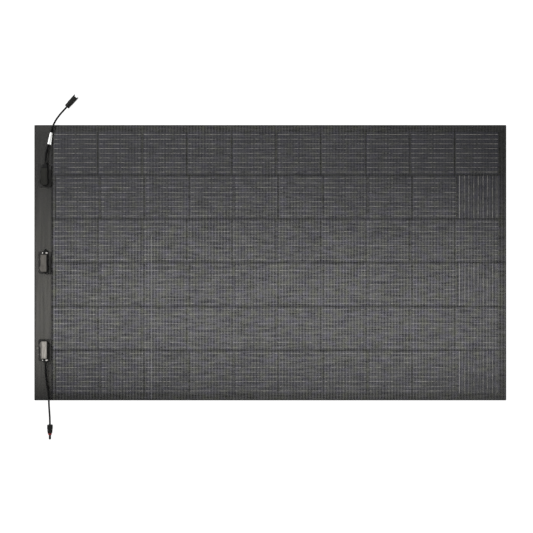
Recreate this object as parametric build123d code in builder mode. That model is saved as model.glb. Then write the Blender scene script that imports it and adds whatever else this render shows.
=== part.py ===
from build123d import *
import os
from math import pi, radians, tan

# Flexible solar sheet: a thin laminate of sixty cells in six rows that lies on its back, with
# three small junction boxes bonded along its left border. The upper and the lower box each
# have a lead that runs out over the sheet's edge to a connector. Millimetres, +Z up, origin
# at the middle of the sheet's underside, +X along the rows, +Y towards the first row.

os.makedirs("parts", exist_ok=True)

# ---- Driving dimensions: the laminate ----
SHEET_LENGTH = 1774.0
SHEET_WIDTH = 1035.0
SHEET_CORNER = 3.0
BACKSHEET = 0.6
REAR_BED = 0.5  # encapsulant under the cells
CELL_THICKNESS = 0.2
RIBBON_THICKNESS = 0.3
FRONT_BED = 0.3  # encapsulant over the ribbons
FRONT_SHEET = 0.4

# ---- Driving dimensions: the cells ----
ROWS = 6
COLUMNS = 10
CELL = 161.7
ROW_PITCH = 164.6
COLUMN_PITCH = 167.75
ROW_START = -814.0  # left edge of the first, third and fifth rows
ROW_SHIFT = 8.0  # the rows between stand this much further right
TURNED_CELL_X = 782.0  # middle of the turned cell that ends those rows
WIRES = 9  # ribbons on each cell
WIRE_PITCH = 17.64
RIBBON_WIDTH = 1.0
RIBBON_INSET = 2.0
BUS_WIDTH = 5.0
BUS_X = -821.0
CROSS_WIDTH = 3.0
CROSS_X = 699.4  # strip between the ninth cell and the turned one
END_X = 859.5  # strip past the last cell of a straight row
POCKET_MARGIN = 0.5
POCKET_END = 864.0

# ---- Driving dimensions: the junction boxes ----
BOX_X = -847.0
BOX_Y = {"upper": 323.0, "middle": -2.0, "lower": -327.0}
PORT_SIDE = {"upper": 1, "middle": 1, "lower": -1}  # the end of the box that has its port
PORT_X = -843.0
PAD_SIZE = (48.0, 82.0)
PAD = 0.8
PAD_CORNER = 6.0
FLANGE_SIZE = (46.0, 80.0)
FLANGE = 2.0
FLANGE_CORNER = 5.0
FLANGE_ROUNDING = 0.6
FLANGE_SHIFT = 2.0  # from the housing's middle towards the port
HOUSING_HALF = 34.0  # half the housing's length
HOUSING_HEIGHT = 10.0  # above the flange
BODY_HALF = 13.0  # half the housing's width beside the port
BULB_HALF = 15.5  # and at its wide end
BULB_CORNER = 12.5
BULB_STOP = -13.0
BODY_START_V = -7.0
PORT_CORNER = 4.5
NECK_END = 46.0  # the neck runs from the housing's end to here
NECK_HALF = 8.5  # half the neck's width at its end
NECK_HEIGHT = 11.6
NECK_CHAMFER = 3.2
WALL = 2.0
SLOT_SIZE = (6.0, 18.0)  # the ribbons' way up into the box
SLOT_X = -840.0
TAIL_WIDTH = 5.0
TAIL_OFFSET = 5.0  # each tail's middle, from the middle of the slot
TERMINAL = 0.8
TERMINAL_SIZE = (11.5, 13.5)
TERMINAL_GAP = 1.5
TERMINAL_CORNER = 0.8
DIODE_SHIFT = 7.0  # from the box's middle, away from the slot
DIODE_BODY = (4.6, 9.0, 2.6)
DIODE_LEAD = (2.0, 6.0, 0.5)
DIODE_TAPER = 4.0
POTTING = 5.5
LID_PLATE = 2.0
LID_GAP = 0.1
LID_CLEARANCE = 0.3
LID_CHAMFER = 0.5
CROWN = 1.0  # the raised middle of the lid
CROWN_INSET = 1.6
CROWN_CHAMFER = 0.8
LID_GROOVE = (4.6, 5.6, 0.5)  # inset of its outer edge, of its inner edge, and its depth
BULB_RING = (6.8, 5.8)
BULB_RING_V = -16.0
SPIGOT_DEPTH = 3.0
SPIGOT_WALL = 1.4
TONGUE_SIZE = (1.0, 8.0, 6.0)
TONGUES = ((-17.5, BULB_HALF), (17.0, BODY_HALF))  # place along the box and half-width there
RIB = 1.6
RIB_DROP = 2.0  # the ribs stop this far under the rim
RIB_ROOT = 0.4

# ---- Driving dimensions: leads and connectors ----
LEAD_DIAMETER = 6.8
LEAD_Z = 10.1  # height of the leads where they leave the boxes
GLAND_LENGTH = 8.0
GLAND_RADIUS = 4.4
GLAND_TIP_RADIUS = 3.8
GLAND_RINGS = 3
GLAND_GROOVE = 0.45
PLUG_Z = 10.6  # height of the connectors' axes
PORT_PLUG_LENGTH = 7.0
LEAD_DEPTH = 12.0  # how far a lead goes into its connector
LABEL_LENGTH = 44.0
LABEL_RADIUS = 3.9
LABEL_PAPER = 0.3
LABEL_TAB = (4.8, 9.4)  # the tab's reach from the lead's middle at its two ends
NUT_LENGTH = 16.0
NUT_HOLE = 3.8
NUT_BORE = 7.65
NUT_BACK = 2.5  # thickness of the nut's back wall
NUT_ROUNDING = 1.2
NUT_LIP = 0.6
NUT_GROOVES = 12
NUT_GROOVE_RADIUS = 0.9
SOCKET_NUT_RADIUS = 9.45
PLUG_NUT_RADIUS = 10.5
SPIGOT_RADIUS = 7.6
SPIGOT_START = 4.0
BODY_START = 16.3
SOCKET_BODY = (18.9, 16.0, 4.5)  # width, height and corner radius
SOCKET_FRONT = 50.0
MOUTH_DEPTH = 9.0
SOCKET_TIP = 54.7
FINGER_SIZE = (2.4, 6.4)
FINGER_ROOT = 6.0
HOOK_SIZE = (3.2, 6.4, 3.6)
HOOK_INNER = 6.4  # from the axis to a hook's inner face
HOOK_TAPER = 8.0

# ---- Levels worked out from the layers ----
CELL_Z = BACKSHEET + REAR_BED
RIBBON_Z = CELL_Z + CELL_THICKNESS
RIBBON_TOP = RIBBON_Z + RIBBON_THICKNESS
FRONT_Z = RIBBON_TOP + FRONT_BED
SHEET_TOP = FRONT_Z + FRONT_SHEET
FLANGE_Z = SHEET_TOP + PAD
FLOOR_Z = FLANGE_Z + FLANGE
RIM_Z = FLOOR_Z + HOUSING_HEIGHT
LID_Z = RIM_Z + LID_GAP
TERMINAL_TOP = FLOOR_Z + TERMINAL
BUS_EDGE = BUS_X + BUS_WIDTH / 2
ROW_GAP = ROW_PITCH - CELL

# A slot stands where two rows meet, so each box takes the ribbons of a pair of rows.
SLOT_Y = {"upper": 2 * ROW_PITCH, "middle": 0.0, "lower": -2 * ROW_PITCH}

# ---- The leads' routes, from the gland's mouth to the connector ----
UPPER_MOUTH = BOX_Y["upper"] + NECK_END + GLAND_LENGTH
LOWER_MOUTH = BOX_Y["lower"] - NECK_END - GLAND_LENGTH
UPPER_AXIS = Vector(0.671, 0.742, 0).normalized()
LOWER_AXIS = Vector(0, -1, 0)
UPPER_PLUG = Vector(-763.5, 584.0, PLUG_Z)
LOWER_PLUG = Vector(-826.5, -607.7, PLUG_Z)
UPPER_ROUTE = [
    (PORT_X, UPPER_MOUTH, LEAD_Z),
    (PORT_X, 392.0, LEAD_Z),
    (-840.5, 415.0, 8.4),
    (-833.5, 441.0, 7.0),
    (-821.5, 492.0, 8.0),
    (-815.5, 514.5, 9.3),
    (-803.5, 536.5, 9.7),
    (-790.5, 554.0, 10.3),
    (-776.92, 569.16, PLUG_Z),
]
LOWER_ROUTE = [
    (PORT_X, LOWER_MOUTH, LEAD_Z),
    (PORT_X, -398.0, LEAD_Z),
    (-842.0, -424.0, 8.2),
    (-838.6, -452.0, 6.6),
    (-833.8, -480.0, 7.6),
    (-831.2, -508.0, 9.3),
    (-830.3, -536.0, 9.5),
    (-828.3, -563.0, 10.2),
    (-826.5, -587.0, PLUG_Z),
]
LABEL_RUN = 3  # the label sits on the upper lead's run that starts at this point


def save(piece, name):
    """Label a finished piece and write it as its own STEP file."""
    piece.part.label = name
    export_step(piece.part, f"parts/{name}.step")


def row_y(row):
    """The middle of a row, where row 0 is the one furthest along +Y."""
    return ROW_PITCH * ((ROWS - 1) / 2 - row)


def is_shifted(row):
    """The second, fourth and sixth rows are shifted and end in a turned cell."""
    return row % 2 == 1


def cell_centres(row):
    """The X of the middle of each cell of a row."""
    start = ROW_START + (ROW_SHIFT if is_shifted(row) else 0)
    centres = [start + CELL / 2 + COLUMN_PITCH * column for column in range(COLUMNS)]
    if is_shifted(row):
        centres[-1] = TURNED_CELL_X
    return centres


def wire_offsets():
    """Each ribbon's distance from the middle of its cell."""
    return [WIRE_PITCH * (wire - (WIRES - 1) / 2) for wire in range(WIRES)]


# ---- Laminate: plain layers ----
def layer(name, z, thickness):
    with BuildPart() as sheet:
        with BuildSketch(Plane.XY.offset(z)):
            RectangleRounded(SHEET_LENGTH, SHEET_WIDTH, SHEET_CORNER)
        extrude(amount=thickness)
    save(sheet, name)


def slots():
    """For the sketch in hand, the three slots that the bus ribbons come up through."""
    with Locations(*[(SLOT_X, y) for y in SLOT_Y.values()]):
        Rectangle(*SLOT_SIZE)


def bar(x0, x1, y0, y1):
    """A rectangle between two corners, for the sketch in hand."""
    with Locations(((x0 + x1) / 2, (y0 + y1) / 2)):
        Rectangle(abs(x1 - x0), abs(y1 - y0))


def front_encapsulant():
    """The clear layer over the cells, hollowed where cells and ribbons lie."""
    left = SLOT_X - SLOT_SIZE[0]
    right = POCKET_END
    half = CELL / 2 + POCKET_MARGIN
    cross_left = CROSS_X - CROSS_WIDTH
    with BuildPart() as bed:
        with BuildSketch(Plane.XY.offset(CELL_Z)):
            RectangleRounded(SHEET_LENGTH, SHEET_WIDTH, SHEET_CORNER)
        extrude(amount=FRONT_Z - CELL_Z)
        with BuildSketch(Plane.XY.offset(CELL_Z)):
            bar(left, ROW_START, row_y(0) + half, row_y(ROWS - 1) - half)
            for row in range(ROWS):
                y = row_y(row)
                bar(ROW_START, right, y - half, y + half)
                if is_shifted(row):
                    bar(cross_left, right, y - half - ROW_GAP, y + half + ROW_GAP)
        extrude(amount=RIBBON_TOP - CELL_Z, mode=Mode.SUBTRACT)
        with BuildSketch(Plane.XY.offset(RIBBON_TOP)):
            slots()
        extrude(amount=FRONT_BED, mode=Mode.SUBTRACT)
    save(bed, "front_encapsulant")


def front_sheet():
    with BuildPart() as sheet:
        with BuildSketch(Plane.XY.offset(FRONT_Z)):
            RectangleRounded(SHEET_LENGTH, SHEET_WIDTH, SHEET_CORNER)
        extrude(amount=FRONT_SHEET)
        with BuildSketch(Plane.XY.offset(FRONT_Z)):
            slots()
        extrude(amount=FRONT_SHEET, mode=Mode.SUBTRACT)
    save(sheet, "front_sheet")


# ---- Cells and the ribbons on them ----
def cell_row(row):
    with BuildPart() as cells:
        with BuildSketch(Plane.XY.offset(CELL_Z)):
            with Locations(*[(x, row_y(row)) for x in cell_centres(row)]):
                Rectangle(CELL, CELL)
        extrude(amount=CELL_THICKNESS)
    save(cells, f"cell_row_{row + 1}")


def ribbon_spans(row):
    """Where the ribbons of each straight cell start and end along the row."""
    centres = cell_centres(row)
    straight = centres[:-1] if is_shifted(row) else centres
    row_end = CROSS_X if is_shifted(row) else END_X
    spans = []
    for column, x in enumerate(straight):
        start = BUS_EDGE if column == 0 else x - CELL / 2 + RIBBON_INSET
        last = column == len(straight) - 1
        end = row_end - CROSS_WIDTH / 2 if last else x - CELL / 2 + COLUMN_PITCH
        spans.append((start, end))
    return spans


def ribbon_row(row):
    """Nine ribbons on each cell; those of a turned cell run across the row."""
    y = row_y(row)
    half_width = RIBBON_WIDTH / 2
    with BuildPart() as ribbons:
        with BuildSketch(Plane.XY.offset(RIBBON_Z)):
            for start, end in ribbon_spans(row):
                for offset in wire_offsets():
                    bar(start, end, y + offset - half_width, y + offset + half_width)
            if is_shifted(row):
                low = y - CELL / 2 + RIBBON_INSET
                high = y + ROW_PITCH / 2 - CROSS_WIDTH / 2
                for offset in wire_offsets():
                    x = TURNED_CELL_X + offset
                    bar(x - half_width, x + half_width, low, high)
        extrude(amount=RIBBON_THICKNESS)
    save(ribbons, f"ribbon_row_{row + 1}")


def cross_ribbons():
    """At the right end each pair of rows is joined by two bent strips round the turned cell."""
    half = CROSS_WIDTH / 2
    with BuildPart() as strips:
        with BuildSketch(Plane.XY.offset(RIBBON_Z)):
            for row in range(1, ROWS, 2):
                y = row_y(row)
                above = y + ROW_PITCH / 2
                below = y - ROW_PITCH / 2
                turned_left = TURNED_CELL_X - CELL / 2
                bar(turned_left, END_X + half, above - half, above + half)
                bar(END_X - half, END_X + half, above - half, above + CELL)
                bar(CROSS_X - half, CROSS_X + half, below - half, y + CELL / 2)
                bar(CROSS_X - half, END_X + half, below - half, below + half)
        extrude(amount=RIBBON_THICKNESS)
    save(strips, "cross_ribbons")


def bus_ribbons():
    """Four strips down the left border, each from one box's slot to the next."""
    ends = [row_y(0) + CELL / 2] + list(SLOT_Y.values()) + [row_y(ROWS - 1) - CELL / 2]
    tail_edge = TAIL_OFFSET - TAIL_WIDTH / 2
    with BuildPart() as strips:
        with BuildSketch(Plane.XY.offset(RIBBON_Z)):
            for index, (top, bottom) in enumerate(zip(ends, ends[1:])):
                high = top if index == 0 else top - tail_edge
                low = bottom if index == len(ends) - 2 else bottom + tail_edge
                bar(BUS_X - BUS_WIDTH / 2, BUS_EDGE, low, high)
        extrude(amount=RIBBON_THICKNESS)
    save(strips, "bus_ribbons")


# ---- Junction boxes ----
def ribbon_tails(place):
    """Two strips that come off the bus, rise through the slot and lie on the terminals."""
    start = BUS_X - BUS_WIDTH / 2
    end = BOX_X - TAIL_WIDTH
    t = RIBBON_THICKNESS
    outline = [
        (start, RIBBON_Z),
        (start, RIBBON_TOP),
        (SLOT_X + t, RIBBON_TOP),
        (SLOT_X + t, TERMINAL_TOP + t),
        (end, TERMINAL_TOP + t),
        (end, TERMINAL_TOP),
        (SLOT_X, TERMINAL_TOP),
        (SLOT_X, RIBBON_Z),
    ]
    with BuildPart() as tails:
        for side in (-1, 1):
            y = SLOT_Y[place] + side * TAIL_OFFSET + TAIL_WIDTH / 2
            with BuildSketch(Plane.XZ.offset(-y)):
                with BuildLine():
                    Polyline(*outline, close=True)
                make_face()
            extrude(amount=TAIL_WIDTH)
    save(tails, f"box_{place}_ribbon_tails")
    return tails


def terminals(place):
    """Two tinned plates on the floor of the box, each under one ribbon tail."""
    x = BOX_X - BODY_HALF + WALL + TERMINAL_GAP + TERMINAL_SIZE[0] / 2
    y_offset = TERMINAL_SIZE[1] / 2 + TERMINAL_GAP
    with BuildPart() as plates:
        with BuildSketch(Plane.XY.offset(FLOOR_Z)):
            with Locations((x, SLOT_Y[place] + y_offset), (x, SLOT_Y[place] - y_offset)):
                RectangleRounded(*TERMINAL_SIZE, TERMINAL_CORNER)
        extrude(amount=TERMINAL)
    save(plates, f"box_{place}_terminals")
    return plates


def bypass_diode(place):
    """A flat diode that bridges the two plates on short leads."""
    x = BOX_X - DIODE_SHIFT
    lead_width, lead_length, lead_height = DIODE_LEAD
    body_width, body_length, body_height = DIODE_BODY
    y_offset = (body_length + lead_length) / 2 - TERMINAL_GAP
    with BuildPart() as diode:
        with BuildSketch(Plane.XY.offset(TERMINAL_TOP)):
            with Locations((x, SLOT_Y[place] + y_offset), (x, SLOT_Y[place] - y_offset)):
                Rectangle(lead_width, lead_length)
        extrude(amount=lead_height)
        with BuildSketch(Plane.XY.offset(TERMINAL_TOP + lead_height)):
            with Locations((x, SLOT_Y[place])):
                Rectangle(body_width, body_length)
        extrude(amount=body_height, taper=DIODE_TAPER)
    save(diode, f"box_{place}_diode")
    return diode


def box_plan(place, inset=0.0):
    """A housing seen from above, drawn smaller by the inset: wide round end, narrower port end."""
    side = PORT_SIDE[place]
    end = HOUSING_HALF - inset
    flank = [(BULB_HALF, -end), (BULB_HALF, BULB_STOP), (BODY_HALF, BODY_START_V), (BODY_HALF, end)]
    right = [(BOX_X + u - inset, BOX_Y[place] + side * v) for u, v in flank]
    left = [(BOX_X - u + inset, BOX_Y[place] + side * v) for u, v in reversed(flank)]
    with BuildSketch() as plan:
        with BuildLine():
            Polyline(*right, *left, close=True)
        make_face()
        fillet(plan.vertices().sort_by(Axis.Y)[::side][:2], BULB_CORNER - inset)
        fillet(plan.vertices().sort_by(Axis.Y)[::side][-2:], max(PORT_CORNER - inset, TERMINAL_CORNER))
    return plan.sketch


def potting(place, inner_pieces):
    """The filling that seals the plates, the diode and the ribbon tails."""
    cavity = box_plan(place, WALL)
    with BuildPart() as filling:
        with BuildSketch(Plane.XY.offset(FLOOR_Z)):
            add(cavity)
        extrude(amount=POTTING)
        for piece in inner_pieces:
            add(piece.part, mode=Mode.SUBTRACT)
    save(filling, f"box_{place}_potting")


def flange_middle(place):
    return (BOX_X, BOX_Y[place] + PORT_SIDE[place] * FLANGE_SHIFT)


def pad(place):
    """The bonding pad between the sheet and the box, a little larger than the flange."""
    with BuildPart() as bond:
        with BuildSketch(Plane.XY.offset(SHEET_TOP)):
            with Locations(flange_middle(place)):
                RectangleRounded(*PAD_SIZE, PAD_CORNER)
            with Locations((SLOT_X, SLOT_Y[place])):
                Rectangle(*SLOT_SIZE, mode=Mode.SUBTRACT)
        extrude(amount=PAD)
    save(bond, f"box_{place}_pad")


def neck(place):
    """The tapering block past the housing's end wall that holds the port."""
    side = PORT_SIDE[place]
    root = BOX_Y[place] + side * (HOUSING_HALF - PORT_CORNER)
    tip = BOX_Y[place] + side * NECK_END
    corners = [
        (BOX_X - BODY_HALF, root),
        (BOX_X + BODY_HALF, root),
        (PORT_X + NECK_HALF, tip),
        (PORT_X - NECK_HALF, tip),
    ]
    with BuildPart() as block:
        with BuildSketch(Plane.XY.offset(FLANGE_Z)):
            with BuildLine():
                Polyline(*corners, close=True)
            make_face()
        extrude(amount=NECK_HEIGHT)
        top = block.faces().sort_by(Axis.Z)[-1]
        chamfer(top.edges().filter_by(Axis.X, reverse=True), NECK_CHAMFER)
    return block


def base(place):
    """Flange, open housing, neck and the guide ribs that stand beside the lid's tongues."""
    side = PORT_SIDE[place]
    outside = box_plan(place)
    cavity = box_plan(place, WALL)
    port_neck = neck(place)
    rib_offset = TONGUE_SIZE[1] / 2 + LID_CLEARANCE + RIB / 2
    ribs = [
        (BOX_X + sx * (half + RIB / 2), BOX_Y[place] + side * v + sr * rib_offset)
        for v, half in TONGUES
        for sx in (-1, 1)
        for sr in (-1, 1)
    ]
    with BuildPart() as box:
        with BuildSketch(Plane.XY.offset(FLANGE_Z)):
            with Locations(flange_middle(place)):
                RectangleRounded(*FLANGE_SIZE, FLANGE_CORNER)
        extrude(amount=FLANGE)
        fillet(box.faces().sort_by(Axis.Z)[-1].edges(), FLANGE_ROUNDING)
        add(port_neck.part)
        with BuildSketch(Plane.XY.offset(FLANGE_Z)):
            add(outside)
        extrude(amount=FLANGE + HOUSING_HEIGHT)
        with BuildSketch(Plane.XY.offset(FLANGE_Z)):
            with Locations(*ribs):
                Rectangle(RIB + RIB_ROOT, RIB)
        extrude(amount=FLANGE + HOUSING_HEIGHT - RIB_DROP)
        with BuildSketch(Plane.XY.offset(FLOOR_Z)):
            add(cavity)
        extrude(amount=HOUSING_HEIGHT, mode=Mode.SUBTRACT)
        with BuildSketch(Plane.XY.offset(FLANGE_Z)):
            with Locations((SLOT_X, SLOT_Y[place])):
                Rectangle(*SLOT_SIZE)
        extrude(amount=FLANGE, mode=Mode.SUBTRACT)
    save(box, f"box_{place}_base")


def lid(place):
    """A crowned plate with a spigot that goes into the housing and four tongues down its sides."""
    side = PORT_SIDE[place]
    fit = WALL + LID_CLEARANCE
    outside = box_plan(place)
    spigot = box_plan(place, fit)
    hollow = box_plan(place, fit + SPIGOT_WALL)
    crown = box_plan(place, CROWN_INSET)
    groove_outer, groove_inner, groove_depth = LID_GROOVE
    groove = box_plan(place, groove_outer)
    island = box_plan(place, groove_inner)
    tongues = [
        (BOX_X + sx * (half + LID_CLEARANCE + TONGUE_SIZE[0] / 2), BOX_Y[place] + side * v)
        for v, half in TONGUES
        for sx in (-1, 1)
    ]
    with BuildPart() as cover:
        with BuildSketch(Plane.XY.offset(LID_Z)):
            add(outside)
            with Locations(*tongues):
                Rectangle(TONGUE_SIZE[0] + 2 * LID_CLEARANCE, TONGUE_SIZE[1])
        extrude(amount=LID_PLATE)
        chamfer(cover.faces().sort_by(Axis.Z)[-1].edges(), LID_CHAMFER)
        with BuildSketch(Plane.XY.offset(LID_Z - SPIGOT_DEPTH)):
            add(spigot)
            add(hollow, mode=Mode.SUBTRACT)
        extrude(amount=SPIGOT_DEPTH)
        with BuildSketch(Plane.XY.offset(LID_Z - TONGUE_SIZE[2])):
            with Locations(*tongues):
                Rectangle(TONGUE_SIZE[0], TONGUE_SIZE[1])
        extrude(amount=TONGUE_SIZE[2])
        with BuildSketch(Plane.XY.offset(LID_Z + LID_PLATE)):
            add(crown)
        extrude(amount=CROWN)
        chamfer(cover.faces().sort_by(Axis.Z)[-1].edges(), CROWN_CHAMFER)
        with BuildSketch(Plane.XY.offset(LID_Z + LID_PLATE + CROWN)):
            add(groove)
            add(island, mode=Mode.SUBTRACT)
            with Locations((BOX_X, BOX_Y[place] + side * BULB_RING_V)):
                Circle(BULB_RING[0])
                Circle(BULB_RING[1], mode=Mode.SUBTRACT)
        extrude(amount=-groove_depth, mode=Mode.SUBTRACT)
    save(cover, f"box_{place}_lid")


# ---- Turned pieces: outlines are (radius, station) pairs along a plane's own Y ----
def along(origin, axis):
    """A plane whose Y runs along the axis and whose X points up."""
    return Plane(origin=origin, x_dir=(0, 0, 1), z_dir=Vector(0, 0, 1).cross(Vector(axis)))


def across(origin, axis, station):
    """A plane square to the axis at a station, whose X is level and whose Y points up."""
    side = Vector(0, 0, 1).cross(Vector(axis))
    return Plane(origin=Vector(origin) + Vector(axis) * station, x_dir=side, z_dir=axis)


def turned(origin, axis, outline):
    plane = along(origin, axis)
    with BuildPart() as piece:
        with BuildSketch(plane):
            with BuildLine():
                Polyline(*outline, close=True)
            make_face()
        revolve(axis=Axis(plane.origin, plane.y_dir))
    return piece


def port_origin(place):
    """The middle of the port, on the end face of the box's neck."""
    return (PORT_X, BOX_Y[place] + PORT_SIDE[place] * NECK_END, LEAD_Z)


def gland(place, axis):
    """The tapering, ribbed strain relief at the port of a box."""
    step = GLAND_LENGTH / GLAND_RINGS
    outline = [(0, 0)]
    for ring in range(GLAND_RINGS):
        share = ring / (GLAND_RINGS - 1)
        radius = GLAND_RADIUS + (GLAND_TIP_RADIUS - GLAND_RADIUS) * share
        outline += [(radius, step * ring), (radius, step * (ring + 0.6))]
        if ring < GLAND_RINGS - 1:
            outline += [(radius - GLAND_GROOVE, step * (ring + 0.6))]
            outline += [(radius - GLAND_GROOVE, step * (ring + 1))]
    outline += [(GLAND_TIP_RADIUS - GLAND_GROOVE / 2, GLAND_LENGTH), (0, GLAND_LENGTH)]
    save(turned(port_origin(place), axis, outline), f"gland_{place}")


def port_plug():
    """The stemmed blank in the unused port of the middle box."""
    stem = PORT_PLUG_LENGTH / 2
    outline = [
        (0, 0),
        (GLAND_RADIUS, 0),
        (GLAND_RADIUS, stem),
        (GLAND_RADIUS - 1.4, stem + 1.0),
        (GLAND_RADIUS - 1.4, PORT_PLUG_LENGTH),
        (0, PORT_PLUG_LENGTH),
    ]
    save(turned(port_origin("middle"), Vector(0, 1, 0), outline), "port_plug_middle")


# ---- Leads ----
def arc_radii(route):
    """Each corner's arc is as large as its two runs allow."""
    points = [Vector(*point) for point in route]
    runs = [b - a for a, b in zip(points, points[1:])]
    radii = []
    for before, after in zip(runs, runs[1:]):
        half_turn = radians(before.get_angle(after)) / 2
        radii.append(0.45 * min(before.length, after.length) / tan(half_turn))
    return radii


def lead(name, route):
    points = [Vector(*point) for point in route]
    radii = arc_radii(route)
    with BuildPart() as tube:
        with BuildLine() as path:
            FilletPolyline(*route, radius=radii)
        with BuildSketch(Plane(origin=points[0], z_dir=points[1] - points[0])):
            Circle(LEAD_DIAMETER / 2)
        sweep(path=path.wire())
    length = path.wire().length
    section = pi * (LEAD_DIAMETER / 2) ** 2
    print(name, "length", round(length, 1), "arc radii", [round(r) for r in radii])
    print(name, "volume over section x length", round(tube.part.volume / (section * length), 4))
    save(tube, name)


def lead_label():
    """A paper flag: a sleeve round the lead and a tapering tab on its right."""
    start, end = [Vector(*UPPER_ROUTE[LABEL_RUN + i]) for i in (0, 1)]
    direction = (end - start).normalized()
    side = direction.cross(Vector(0, 0, 1)).normalized()
    inset = ((end - start).length - LABEL_LENGTH) / 2
    origin = start + direction * inset
    sleeve_plane = Plane(origin=origin, x_dir=side, z_dir=direction)
    tab_plane = Plane(origin=origin, x_dir=direction, z_dir=side.cross(direction))
    outer = LABEL_RADIUS + LABEL_PAPER
    near, far = LABEL_TAB
    tab = [(0, -LABEL_RADIUS), (LABEL_LENGTH, -LABEL_RADIUS), (LABEL_LENGTH, -near), (0, -far)]
    with BuildPart() as label:
        with BuildSketch(tab_plane.offset(-LABEL_PAPER)):
            with BuildLine():
                Polyline(*tab, close=True)
            make_face()
        extrude(amount=2 * LABEL_PAPER)
        with BuildSketch(sleeve_plane):
            Circle(outer)
        extrude(amount=LABEL_LENGTH)
        with BuildSketch(sleeve_plane):
            Circle(LABEL_RADIUS)
        extrude(amount=LABEL_LENGTH, mode=Mode.SUBTRACT)
    save(label, "lead_label")


# ---- Connectors: stations are measured from the back of the cap nut ----
def cap_nut(name, origin, axis, radius):
    outline = [
        (NUT_HOLE, 0),
        (radius - NUT_ROUNDING, 0),
        (radius, NUT_ROUNDING),
        (radius, NUT_LENGTH - NUT_LIP),
        (radius - NUT_LIP, NUT_LENGTH),
        (NUT_BORE, NUT_LENGTH),
        (NUT_BORE, NUT_BACK),
        (NUT_HOLE, NUT_BACK),
    ]
    plane = along(origin, axis)
    with BuildPart() as nut:
        with BuildSketch(plane):
            with BuildLine():
                Polyline(*outline, close=True)
            make_face()
        revolve(axis=Axis(plane.origin, plane.y_dir))
        with BuildSketch(across(origin, axis, NUT_BACK)):
            with PolarLocations(radius + NUT_GROOVE_RADIUS / 3, NUT_GROOVES):
                Circle(NUT_GROOVE_RADIUS)
        extrude(amount=NUT_LENGTH - 2 * NUT_BACK, mode=Mode.SUBTRACT)
    save(nut, name)


def seal(name, origin, axis):
    """The rubber sleeve that the cap nut squeezes round the lead."""
    outline = [(3.5, 4.2), (5.1, 4.2), (5.5, 5.0), (5.5, 11.8), (3.5, 11.8)]
    save(turned(origin, axis, outline), name)


def socket_housing():
    """Rear spigot, boxy body with a stepped bore, and two latch fingers with hooks."""
    origin, axis = UPPER_PLUG, UPPER_AXIS
    finger_mid = (SOCKET_BODY[0] - FINGER_SIZE[0]) / 2
    hook_mid = HOOK_INNER + HOOK_SIZE[0] / 2
    seat = SOCKET_FRONT - MOUTH_DEPTH
    bores = [(5.6, SPIGOT_START, 12.0), (2.0, 12.0, 17.0), (4.4, 17.0, seat), (6.3, seat, SOCKET_FRONT)]
    with BuildPart() as housing:
        with BuildSketch(across(origin, axis, SPIGOT_START)):
            Circle(SPIGOT_RADIUS)
        extrude(amount=BODY_START - SPIGOT_START)
        with BuildSketch(across(origin, axis, BODY_START)):
            RectangleRounded(*SOCKET_BODY)
        extrude(amount=SOCKET_FRONT - BODY_START)
        with BuildSketch(across(origin, axis, SOCKET_FRONT - FINGER_ROOT)):
            with Locations((-finger_mid, 0), (finger_mid, 0)):
                Rectangle(*FINGER_SIZE)
        extrude(amount=SOCKET_TIP - SOCKET_FRONT + FINGER_ROOT)
        with BuildSketch(across(origin, axis, SOCKET_TIP - HOOK_SIZE[2])):
            with Locations((-hook_mid, 0), (hook_mid, 0)):
                Rectangle(HOOK_SIZE[0], HOOK_SIZE[1])
        extrude(amount=HOOK_SIZE[2], taper=HOOK_TAPER)
        for radius, start, end in bores:
            with BuildSketch(across(origin, axis, start)):
                Circle(radius)
            extrude(amount=end - start, mode=Mode.SUBTRACT)
    save(housing, "socket_housing")


def plug_housing():
    """Rear spigot, tapering body with grooves for the latch fingers, seal seat and nose."""
    origin, axis = LOWER_PLUG, LOWER_AXIS
    shoulder, tip = 32.0, 54.5
    outline = [
        (2.0, 12.0),
        (5.6, 12.0),
        (5.6, SPIGOT_START),
        (SPIGOT_RADIUS, SPIGOT_START),
        (SPIGOT_RADIUS, BODY_START),
        (9.6, BODY_START),
        (9.6, 21.0),
        (8.5, shoulder),
        (6.0, shoulder),
        (6.0, 33.2),
        (5.0, 33.2),
        (5.0, 35.4),
        (6.0, 35.4),
        (6.0, 38.0),
        (4.2, 39.5),
        (4.2, 54.0),
        (3.7, tip),
        (2.0, tip),
    ]
    plane = along(origin, axis)
    grooves = [(6.9, 31.2, shoulder), (5.2, 27.0, 31.2)]
    with BuildPart() as housing:
        with BuildSketch(plane):
            with BuildLine():
                Polyline(*outline, close=True)
            make_face()
        revolve(axis=Axis(plane.origin, plane.y_dir))
        for inner, start, end in grooves:
            with BuildSketch(across(origin, axis, start)):
                with Locations((-inner - 2.5, 0), (inner + 2.5, 0)):
                    Rectangle(5.0, 7.0)
            extrude(amount=end - start, mode=Mode.SUBTRACT)
    save(housing, "plug_housing")


def contacts():
    """A pin in the socket-side connector and a sleeve contact in the nose of the other."""
    pin = [(0, 12.2), (1.95, 12.2), (1.95, 16.8), (1.2, 16.8), (1.2, 38.2), (0.6, 39.0), (0, 39.0)]
    sleeve = [(0, 12.2), (1.95, 12.2), (1.95, 53.5), (1.25, 53.5), (1.25, 42.0), (0, 42.0)]
    save(turned(UPPER_PLUG, UPPER_AXIS, pin), "socket_contact")
    save(turned(LOWER_PLUG, LOWER_AXIS, sleeve), "plug_contact")


def seal_ring():
    """The coloured ring in the seat behind the nose."""
    plane = along(LOWER_PLUG, LOWER_AXIS)
    with BuildPart() as ring:
        with BuildSketch(plane):
            with Locations((6.05, 34.3)):
                Circle(1.0)
        revolve(axis=Axis(plane.origin, plane.y_dir))
    save(ring, "plug_seal_ring")


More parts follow.
